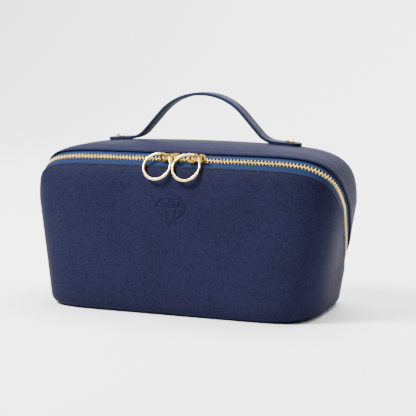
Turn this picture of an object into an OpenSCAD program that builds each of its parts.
// Zip-round leather jewellery case with a top carry strap, two zip sliders and ring pulls.
// Millimetres. X runs along the case, the front faces -Y, +Z is up.
// The origin is the centre of the flat underside.

/* [Body] */
// Length over the widest part of the case
top_len = 252; // [160:1:360]
// Length at the foot of the walls
bottom_len = 223; // [140:1:340]
// Depth of the case at the foot
bottom_depth = 117; // [80:1:180]
// Depth of the case where the walls end
top_depth = 105; // [70:1:170]
// Height of the walls before the top starts to round over
wall_h = 83; // [55:1:130]
// Height of the rounded top above the walls
dome_h = 44; // [25:1:70]
// Extra height of the middle of the top over its two ends
crown = 5; // [0:0.5:8]
// How far the top of the walls stands behind the foot
lean = 2.5; // [0:0.5:8]
// Radius where the walls turn into the base
foot_r = 7; // [6.5:0.5:10]

/* [Zip] */
// Height of the rear fold the lid turns on
hinge_h = 9; // [8.5:0.5:14]
// Angle of the parting plane above the floor
parting_angle = 49; // [44:0.5:56]
// Bare tape between the middle of the zip and each leather edge
tape_show = 7; // [5.6:0.1:8]
// Pitch of the teeth on one tape
tooth_pitch = 2.75; // [2:0.05:4]
// Reach of one tooth from its tape to the middle of the zip
tooth_reach = 2.3; // [2:0.05:3.2]
// Thickness of the teeth
tooth_t = 2; // [1.6:0.1:3]
// How far each tooth head reaches past the middle, between its neighbours
tooth_cross = 0.45; // [0.2:0.05:0.8]

/* [Sliders and rings] */
// Length of one slider
slider_len = 14.8; // [14:0.1:18]
// Width of a slider over its nose
slider_w = 9.4; // [8:0.1:10.2]
// Gap between the two slider noses
nose_gap = 5.8; // [5.6:0.1:12]
// Outside diameter of a ring pull
ring_od = 24; // [20:0.1:26]
// Wire diameter of a ring pull
ring_wire = 2.2; // [1.6:0.1:2.4]
// Distance of the place where the sliders meet to the right of the middle
meet_x = 6; // [0:0.5:12]
// Distance of each bridge in front of the middle of its slider
bridge_front = 2.2; // [1:0.1:2.4]

/* [Strap handle] */
// Width of the strap
strap_w = 14; // [10:0.5:24]
// Thickness of each of its two leather layers
strap_t = 1.2; // [0.8:0.1:2]
// Height of the arch over its tabs
arch_h = 37.5; // [32:0.5:50]
// Distance between the two screws
screw_pitch = 146; // [126:1:156]
// Distance of the strap behind the middle of the case
strap_y = 18; // [6:1:24]
// Diameter of a screw head
screw_head = 7; // [5:0.5:9]

/* [Inside] */
// Diameter of each padded ring roll
roll_d = 12; // [8:0.5:14]
// Number of ring rolls
roll_count = 4; // [2:1:5]
// Distance from the middle to each divider
divider_x = 38; // [25:1:60]

/* [Hidden] */
$fn = 64;
// Squareness of the plan along X, along Y, and of the rounded top
sq_x = 8.3;
sq_y = 3.6;
sq_z = 2.9;
// Depths below the outside where each layer starts and ends
leather = [0, 1.2];
tape = [1.5, 2.05];
board = [2.9, 4.7];
lining = [4.95, 5.75];
seam = 0.35;
fit = 0.2;
// Rows of faces up the front half and over the lid
rows_up = 9;
rows_over = 12;
// Plan angles of the columns of points that make the soft shells
cols = concat([-90, -85.5], [for (a = [-81 : 9 : 81]) a], [85.5, 90, 94.5],
    [for (a = [99 : 9 : 261]) a], [265.5]);
function spow(v, e) = (v < 0 ? -1 : 1) * pow(abs(v), e);
function clamp(v, a, b) = min(max(v, a), b);
function half_x(z, t) = bottom_len / 2 + (top_len - bottom_len) / 2 * min(z, wall_h) / wall_h - t;
function half_y(z, t) = bottom_depth / 2 + (top_depth - bottom_depth) / 2 * min(z, wall_h) / wall_h - t;
function mid_y(z) = lean * min(z, wall_h) / wall_h;
// A point of the skin at depth t, plan angle a, and height step v:
// 0 to 1 floor, 1 to 2 foot rounding, 2 to 3 wall, 3 to 4 rounded top.
function flat_pt(t, ux, uy, z, s, k) = [(half_x(z, t) - s) * ux * k,
    mid_y(z) + (half_y(z, t) - s) * uy * k, z];
function foot_pt(t, ux, uy, r, q) = flat_pt(t, ux, uy, t + r * (1 - cos(q)), r * (1 - sin(q)), 1);
function rise(xp, yp) = crown * (0.5 - xp * xp) * clamp((yp + 0.62) / 0.5, 0, 1);
function dome_at(t, xp, yp, zp) = [half_x(wall_h, t) * xp, mid_y(wall_h) + half_y(wall_h, t) * yp,
    wall_h + zp * (dome_h - t + rise(xp, yp))];
function dome_pt(t, ux, uy, q) = dome_at(t, ux * pow(cos(q), 2 / sq_x), uy * pow(cos(q), 2 / sq_y),
    pow(sin(q), 2 / sq_z));
function skin_u(t, ux, uy, v) = v <= 1 ? flat_pt(t, ux, uy, t, foot_r - t, v)
    : v <= 2 ? foot_pt(t, ux, uy, foot_r - t, (v - 1) * 90)
    : v <= 3 ? flat_pt(t, ux, uy, foot_r + (wall_h - foot_r) * (v - 2), 0, 1)
    : dome_pt(t, ux, uy, (v - 3) * 90);
function skin(t, a, v) = skin_u(t, spow(cos(a), 2 / sq_x), spow(sin(a), 2 / sq_y), v);
// The parting plane holds the rear fold line; its normal points to the lid side.
hinge_y = half_y(hinge_h, 0) + mid_y(hinge_h);
nrm = [0, sin(parting_angle), cos(parting_angle)];
out = [0, -cos(parting_angle), sin(parting_angle)];
function side_of(p) = (p[1] - hinge_y) * nrm[1] + (p[2] - hinge_h) * nrm[2];
function narrow(p, o, w) = w ? o * clamp((p[2] - hinge_h - 4) / 20, 0, 1) + (o < 0 ? -seam : seam) : o;
function past(t, a, v, o, w) = side_of(skin(t, a, v)) - narrow(skin(t, a, v), o, w);
// Height step where the skin meets the plane moved by o; w narrows the gap towards the fold.
function meet(t, a, o, w, lo = 0.5, hi = 3.99, n = 22) = n == 0 ? (lo + hi) / 2
    : past(t, a, (lo + hi) / 2, o, w) < 0 ? meet(t, a, o, w, (lo + hi) / 2, hi, n - 1)
    : meet(t, a, o, w, lo, (lo + hi) / 2, n - 1);
// An edge is [step] for a fixed height step or [o, w] for a line beside the parting plane.
function edge(t, a, e) = len(e) == 1 ? e[0] : meet(t, a, e[0], e[1]);
function even(lo, hi, n) = [for (i = [0 : n]) lo + (hi - lo) * i / n];
function steps(lo, hi, n) = hi <= 2 ? concat([lo], [for (v = [1, 1.5]) if (v > lo && v < hi) v], [hi])
    : lo < 2 ? concat([lo], [for (v = [1, 1.5]) if (v > lo) v], even(2, hi, n))
    : even(lo, hi, n);
function rows(lo, hi, n, narrow_band) = narrow_band ? even(lo, hi, n) : steps(lo, hi, n);
function column(t, a, e0, e1, n, narrow_band) = [for (v = rows(edge(t, a, e0), edge(t, a, e1), n, narrow_band))
    skin(t, a, v)];
// A soft shell between depths t[0] and t[1] and between two edges.
module shell(t, e0, e1, n, turn = cols, closed = true, narrow_band = false) {
    grid = [for (side = [0, 1]) [for (a = turn) column(t[side], a, e0, e1, n, narrow_band)]];
    nc = len(turn);
    nr = len(grid[0][0]);
    pts = [for (side = [0, 1]) for (c = grid[side]) for (p = c) p];
    last = closed ? nc - 1 : nc - 2;
    function id(s, c, r) = s * nc * nr + (c % nc) * nr + r;
    walls = [for (c = [0 : last]) for (r = [0 : nr - 2]) for (f = [
        [id(0, c, r), id(0, c, r + 1), id(0, c + 1, r + 1)],
        [id(0, c, r), id(0, c + 1, r + 1), id(0, c + 1, r)],
        [id(1, c, r), id(1, c + 1, r + 1), id(1, c, r + 1)],
        [id(1, c, r), id(1, c + 1, r), id(1, c + 1, r + 1)]]) f];
    rims = [for (c = [0 : last]) for (r = [0, nr - 1]) for (f = [
        [id(0, c, r), id(0, c + 1, r), id(1, c + 1, r)],
        [id(0, c, r), id(1, c + 1, r), id(1, c, r)]]) if (!(e0 == [0] && r == 0) && !(e1 == [4] && r > 0))
        r == 0 ? f : [f[0], f[2], f[1]]];
    ends = closed ? [] : [for (r = [0 : nr - 2]) for (c = [0, nc - 1]) for (f = [
        [id(0, c, r), id(1, c, r), id(1, c, r + 1)],
        [id(0, c, r), id(1, c, r + 1), id(0, c, r + 1)]]) c == 0 ? f : [f[0], f[2], f[1]]];
    polyhedron(points = pts, faces = concat(walls, rims, ends), convexity = 6);
}
// The zip line: a plane curve in the parting plane, in coordinates [x, distance out].
zip_deep = (tape[0] + tape[1]) / 2;
origin_z = skin(0, -90, meet(0, -90, 0, false));
function in_plane(p) = [p[0], (p - origin_z) * out];
function zip_pt(a) = in_plane(skin(zip_deep, a, meet(zip_deep, a, 0, false)));
zip_end = 45;
zip_pts = [for (a = concat([-90, -89.9, -89, -87.5], [for (b = [-86 : 1.5 : zip_end - 1]) b], [zip_end])) zip_pt(a)];
function run(i, acc, s) = i >= len(zip_pts) ? acc
    : run(i + 1, concat(acc, [s + norm(zip_pts[i] - zip_pts[i - 1])]), s + norm(zip_pts[i] - zip_pts[i - 1]));
zip_s = run(1, [0], 0);
zip_total = zip_s[len(zip_s) - 1];
function seg(s, i = 1) = i >= len(zip_s) - 1 || zip_s[i] >= s ? i : seg(s, i + 1);
function along(s, i) = zip_pts[i - 1] + (zip_pts[i] - zip_pts[i - 1]) * (s - zip_s[i - 1]) / (zip_s[i] - zip_s[i - 1]);
function heading(i) = atan2(zip_pts[i][1] - zip_pts[i - 1][1], zip_pts[i][0] - zip_pts[i - 1][0]);
tooth_out = zip_pts[0][1];
module zip_frame() {
    translate([0, origin_z[1], origin_z[2]])
        rotate([90 - parting_angle, 0, 0])
            children();
}
module on_zip(s) {
    i = seg(s);
    p = along(s, i);
    translate([p[0], 0, p[1]])
        rotate([0, -heading(i), 0])
            children();
}
module both() {
    children();
    mirror([1, 0, 0]) children();
}
tooth_w = tooth_pitch * 0.38;
// One row of teeth; dir is -1 for the front tape and 1 for the lid tape.
module teeth_row(dir) {
    first = tooth_pitch * (dir < 0 ? 0.25 : 0.75);
    lo = dir < 0 ? -tooth_reach : -tooth_cross;
    zip_frame()
        both()
            for (s = [first : tooth_pitch : zip_total - 2 * tooth_pitch])
                on_zip(s)
                    translate([-tooth_w / 2, lo, -tooth_t / 2])
                        cube([tooth_w, tooth_reach + tooth_cross, tooth_t]);
}
tape_in = tooth_reach + 0.1;
tape_turn = concat([for (a = cols) if (a >= 180 - zip_end) a - 360], [for (a = cols) if (a <= zip_end) a]);
tape_hide = tape_show + 1.9;

module base_leather() {
    color("midnightblue") shell(leather, [0], [1.5], 1);
}
module front_leather() {
    color("darkslateblue") shell(leather, [1.5], [-tape_show, true], rows_up);
}
module base_board() {
    color("tan") shell(board, [0], [1.5], 1);
}
module front_board() {
    color("burlywood") shell(board, [1.5], [-tape_show - 1.2, true], rows_up);
}
module front_lining() {
    color("lightsteelblue") shell(lining, [0], [-tape_show - 0.6, true], rows_up);
}
module lid_leather() {
    color("slateblue")
        difference() {
            shell(leather, [tape_show, true], [4], rows_over);
            screw_holes();
        }
}
module lid_board() {
    color("wheat")
        difference() {
            shell(board, [tape_show + 1.2, true], [4], rows_over);
            screw_holes();
        }
}
module lid_lining() {
    color("lavender")
        difference() {
            shell(lining, [tape_show + 0.6, true], [4], rows_over);
            screw_holes();
        }
}
module front_zip_tape() {
    color("steelblue") shell(tape, [-tape_hide, false], [-tape_in, false], 3, tape_turn, false, true);
}
module lid_zip_tape() {
    color("royalblue") shell(tape, [tape_in, false], [tape_hide, false], 3, tape_turn, false, true);
}
module front_zip_teeth() {
    color("gold") teeth_row(-1);
}
module lid_zip_teeth() {
    color("goldenrod") teeth_row(1);
}
module zip_end_stops() {
    color("darkgoldenrod")
        zip_frame()
            both()
                on_zip(zip_total - 1.6 * tooth_pitch)
                    translate([0, -tooth_reach, -tooth_t / 2])
                        cube([3, tooth_reach, tooth_t]);
}
// The leather fold at the rear, drawn on the base side of the parting line.
module hinge_strip() {
    turn = [for (a = cols) if (a >= 54 && a <= 126) a];
    color("navy") shell(tape, [1.5], [-seam - 0.1, false], 1, turn, false);
}
// Inside fittings stand on the lining and stay under the parting plane.
floor_z = lining[1] + 0.05;
function front_in(z) = mid_y(z) - half_y(z, lining[1]) + 0.6;
function rear_in(z) = mid_y(z) + half_y(z, lining[1]) - 0.6;
function plane_z(y, o) = hinge_h + (o - (y - hinge_y) * nrm[1]) / nrm[2];
divider_drop = 9;
div_top = min(wall_h - 6, plane_z(front_in(60) + 4, -divider_drop));
div_foot = foot_r + 5;
module divider() {
    y1 = front_in(div_top) + 1.5;
    y2 = rear_in(div_foot) - 6;
    linear_extrude(4, center = true)
        polygon([[front_in(div_foot) + 3, floor_z], [y1, div_top], [y1 + 14, div_top],
            [y2, max(plane_z(y2, -divider_drop), floor_z + 4)], [y2, floor_z]]);
}
module dividers() {
    color("thistle")
        for (x = [-divider_x, divider_x])
            translate([x, 0, 0])
                rotate([90, 0, 90])
                    divider();
}
module ring_rolls() {
    y0 = front_in(div_foot) + 3 + roll_d / 2;
    color("plum")
        for (i = [0 : roll_count - 1])
            translate([0, y0 + i * (roll_d + 0.4), floor_z + roll_d / 2])
                rotate([0, 90, 0])
                    cylinder(h = 2 * divider_x - 5, d = roll_d, center = true);
}
pocket_z = hinge_h + 24;
pocket_h = wall_h - pocket_z - 4;
module lid_pocket() {
    lean_deg = atan((rear_in(pocket_z) - rear_in(wall_h)) / (wall_h - pocket_z));
    color("mediumpurple")
        translate([0, rear_in(pocket_z) - 1.4, pocket_z])
            rotate([lean_deg, 0, 0])
                translate([-bottom_len * 0.34, -1.4, 0])
                    cube([bottom_len * 0.68, 1.4, pocket_h]);
}

// Strap handle: path from the middle outward, in the XZ plane.
top_x = screw_pitch / 2;
function top_z(x) = dome_on(clamp(x / half_x(wall_h, 0), 0, 1), (strap_y - mid_y(wall_h)) / half_y(wall_h, 0));
function dome_on(xp, yp) = dome_at(0, xp, yp, pow(max(0, 1 - pow(xp, sq_x) - pow(abs(yp), sq_y)), 1 / sq_z))[2];
tab_len = 24;
tab_a = atan((top_z(top_x - 12) - top_z(top_x + 12)) / 24);
// Lift that keeps the flat tab just off the rounded leather under it
tab_gap = max([for (d = [-12 : 3 : 12]) top_z(top_x + d) + tan(tab_a) * d]) - top_z(top_x) + 0.1;
tab_z = top_z(top_x) + tab_gap;
bend = 48;
cap_r = 46;
foot_fillet = 20;
// Leg length that brings the arch to its height over the tab
tab_in = 11;
leg = (arch_h - cap_r * (1 - cos(bend)) - foot_fillet * (cos(tab_a) - cos(bend)) - tab_in * sin(tab_a)) / sin(bend);
leg_x = cap_r * sin(bend) + leg * cos(bend) + foot_fillet * (sin(bend) - sin(tab_a)) + tab_in * cos(tab_a);
flat = max(0.01, top_x - leg_x);
// Points [x, z, slope angle] down the middle line of the strap, from the middle outward.
cap_c = [flat, -cap_r];
leg_0 = cap_c + cap_r * [sin(bend), cos(bend)];
leg_1 = leg_0 + leg * [cos(bend), -sin(bend)];
fil_c = leg_1 + foot_fillet * [sin(bend), cos(bend)];
fil_1 = fil_c - foot_fillet * [sin(tab_a), cos(tab_a)];
tab_1 = fil_1 + tab_len * [cos(tab_a), -sin(tab_a)];
function cap_at(a) = concat(cap_c + cap_r * [sin(a), cos(a)], [a]);
function fillet_at(a) = concat(fil_c - foot_fillet * [sin(a), cos(a)], [a]);
half_line = concat([for (k = [0 : 10]) cap_at(bend * k / 10)],
    [for (k = [0 : 7]) fillet_at(bend + (tab_a - bend) * k / 7)], [concat(tab_1, [tab_a])]);
last_pt = len(half_line) - 1;
whole_line = concat([for (k = [last_pt : -1 : 0]) [-half_line[k][0], half_line[k][1], -half_line[k][2]]], half_line);
function beside(q, d) = [q[0] + d * sin(q[2]), q[1] + d * cos(q[2])];
module strap_section(lo, hi) {
    polygon(concat([for (q = whole_line) beside(q, hi)],
        [for (k = [len(whole_line) - 1 : -1 : 0]) beside(whole_line[k], lo)]));
}
module strap_layer(lo, hi) {
    difference() {
        intersection() {
            translate([0, strap_y, tab_z + strap_t + arch_h])
                rotate([90, 0, 0])
                    linear_extrude(strap_w, center = true)
                        strap_section(lo, hi);
            linear_extrude(tab_z * 2)
                translate([0, strap_y])
                    polygon(concat(
                        [for (a = [-90 : 15 : 90]) [top_x + 2.5 + strap_w / 2 * cos(a), strap_w / 2 * sin(a)]],
                        [for (a = [90 : 15 : 270]) [-top_x - 2.5 + strap_w / 2 * cos(a), strap_w / 2 * sin(a)]]));
        }
        screw_holes();
    }
}
screw_d = 3.2;
socket_d = 2.9;
module at_screws() {
    both()
        translate([top_x, strap_y, tab_z])
            rotate([0, tab_a, 0])
                children();
}
module screw_holes() {
    at_screws() cylinder(h = 30, d = screw_d + 0.2, center = true);
}
module handle_strap() {
    color("cornflowerblue") strap_layer(0.03, strap_t);
}
module handle_underlay() {
    color("darkblue") strap_layer(-strap_t, 0);
}
nut_z = -(lining[1] + 1.4);
module handle_screws() {
    ball = screw_head * 0.62;
    color("gold")
        at_screws() {
            difference() {
                union() {
                    translate([0, 0, 2 * strap_t + 0.05])
                        cylinder(h = 0.7, d = screw_head);
                    intersection() {
                        translate([0, 0, 2 * strap_t + 0.75]) cylinder(h = 3, d = screw_head);
                        translate([0, 0, 2 * strap_t + 0.75 - sqrt(ball * ball - screw_head * screw_head / 4)])
                            sphere(ball);
                    }
                    translate([0, 0, nut_z - 2.6]) cylinder(h = 2 * strap_t + 0.4 - nut_z + 2.6, d = screw_d);
                }
                translate([0, 0, 2 * strap_t + 1.2]) cylinder(h = 3, d = socket_d, $fn = 6);
            }
        }
}
module handle_nuts() {
    color("silver")
        at_screws()
            translate([0, 0, nut_z - 2.2])
                difference() {
                    cylinder(h = 2.2, d = 10);
                    translate([0, 0, -1]) cylinder(h = 5, d = screw_d + 0.1);
                }
}

// Sliders: one plate over the teeth with a lip on the front side, and one under them.
plate_t = 1.6;
plate_lo = tooth_out + tooth_t / 2 + fit;
plate_hi = plate_lo + plate_t;
under_hi = tooth_out - tooth_t / 2 - fit;
post_in = 3.6;
bridge_w = 1.6;
bridge_gap = ring_wire + 1.8;
bridge_t = 1.3;
lug_t = 1.3;
// Plan outline of a plate: wide rounded nose, narrower tail.
module plate_plan(w) {
    intersection() {
        union() {
            translate([w / 2, 0]) circle(d = w);
            translate([w / 2, -w * 0.39]) square([slider_len - w / 2 - 1.5, w * 0.78]);
            translate([slider_len - w * 0.39, 0]) circle(r = w * 0.39);
        }
        translate([0, -w]) square([slider_len, 2 * w]);
    }
}
module slider_body() {
    translate([nose_gap / 2, 0, plate_lo]) linear_extrude(plate_t) plate_plan(slider_w);
    intersection() {
        translate([nose_gap / 2, 0, plate_lo - 0.7]) linear_extrude(1) plate_plan(slider_w);
        translate([nose_gap / 2, -slider_w / 2, plate_lo - 0.7]) cube([slider_len, 0.9, 1]);
    }
}
module under_plate() {
    translate([nose_gap / 2, 0, under_hi - 1.3]) linear_extrude(1.3) plate_plan(slider_w - 0.8);
}
module bridge_side() {
    x0 = post_in;
    x1 = slider_len;
    top = bridge_gap + bridge_t;
    difference() {
        union() {
            square([0.01, 0.01]);
            translate([x0, 0]) square([x1 - x0 - 0.2, top - 1.5]);
            translate([x0 + 1.5, top - 1.5]) circle(1.5);
            translate([x1 - 1.7, top - 0.2]) circle(1.5);
            translate([x0 + 1.5, top - 1.6]) square([x1 - x0 - 3.2, 1.6]);
            translate([x1 - 3.2, top - 1.6]) square([3, 1.4]);
        }
        translate([x0 + lug_t, -1]) square([x1 - x0 - 2 * lug_t - 0.2, bridge_gap + 1]);
        translate([-1, -1]) square([1.5, 2]);
    }
}
module slider_bridge() {
    translate([nose_gap / 2, bridge_w / 2 - bridge_front, plate_hi + 0.02])
        rotate([90, 0, 0])
            linear_extrude(bridge_w)
                bridge_side();
}
module right_of_meeting() {
    zip_frame()
        translate([meet_x, 0, 0])
            children();
}
module left_of_meeting() {
    right_of_meeting()
        mirror([1, 0, 0])
            children();
}
module slider_left() {
    color("khaki") left_of_meeting() slider_body();
}
module slider_right() {
    color("khaki") right_of_meeting() slider_body();
}
module slider_left_under() {
    color("gold") left_of_meeting() under_plate();
}
module slider_right_under() {
    color("gold") right_of_meeting() under_plate();
}
module slider_left_bridge() {
    color("darkkhaki") left_of_meeting() slider_bridge();
}
module slider_right_bridge() {
    color("darkkhaki") right_of_meeting() slider_bridge();
}
// Rings: each hangs from its bridge and lies over the rounded front edge.
ring_r = (ring_od - ring_wire) / 2;
ring_up = plate_hi + 1.2 + ring_wire / 2;
hang = [0, origin_z[1], origin_z[2]] + out * ring_up - nrm * bridge_front;
rest_gap = ring_wire / 2 + 0.35;
function tip(p) = atan2(p[2] - hang[2], hang[1] - p[1]) + asin(rest_gap / norm([p[1] - hang[1], p[2] - hang[2]]));
front_line = [for (v = [2.4 : 0.02 : 3.9]) skin(0, -90, v)];
near = [for (p = front_line) if (p[1] < hang[1] && norm([p[1] - hang[1], p[2] - hang[2]]) > rest_gap + 2
    && norm([p[1] - hang[1], p[2] - hang[2]]) < ring_od) tip(p)];
plate_edge = [0, origin_z[1], origin_z[2]] + out * plate_hi - nrm * (slider_w / 2);
ring_tip = max(max(near), tip(plate_edge));
hook_x = nose_gap / 2 + post_in + lug_t + (slider_len - post_in - 2 * lug_t - 0.2) / 2;
// Turn of each ring in its bridge, so that its wire passes through the hole clear of both legs
ring_turn = 42;
module ring_at(x) {
    translate([x, hang[1], hang[2]])
        rotate([ring_tip * -1, 0, 0])
            translate([-ring_r * sin(ring_turn), -ring_r * cos(ring_turn), 0])
                rotate_extrude()
                    translate([ring_r, 0])
                        circle(d = ring_wire);
}
module ring_left() {
    color("yellow") ring_at(meet_x - hook_x);
}
module ring_right() {
    color("yellow") ring_at(meet_x + hook_x);
}

base_leather();
front_leather();
base_board();
front_board();
front_lining();
front_zip_tape();
front_zip_teeth();
zip_end_stops();
hinge_strip();
dividers();
ring_rolls();
lid_leather();
lid_board();
lid_lining();
lid_zip_tape();
lid_zip_teeth();
lid_pocket();
handle_strap();
handle_underlay();
handle_screws();
handle_nuts();
slider_left();
slider_left_under();
slider_left_bridge();
ring_left();
slider_right();
slider_right_under();
slider_right_bridge();
ring_right();
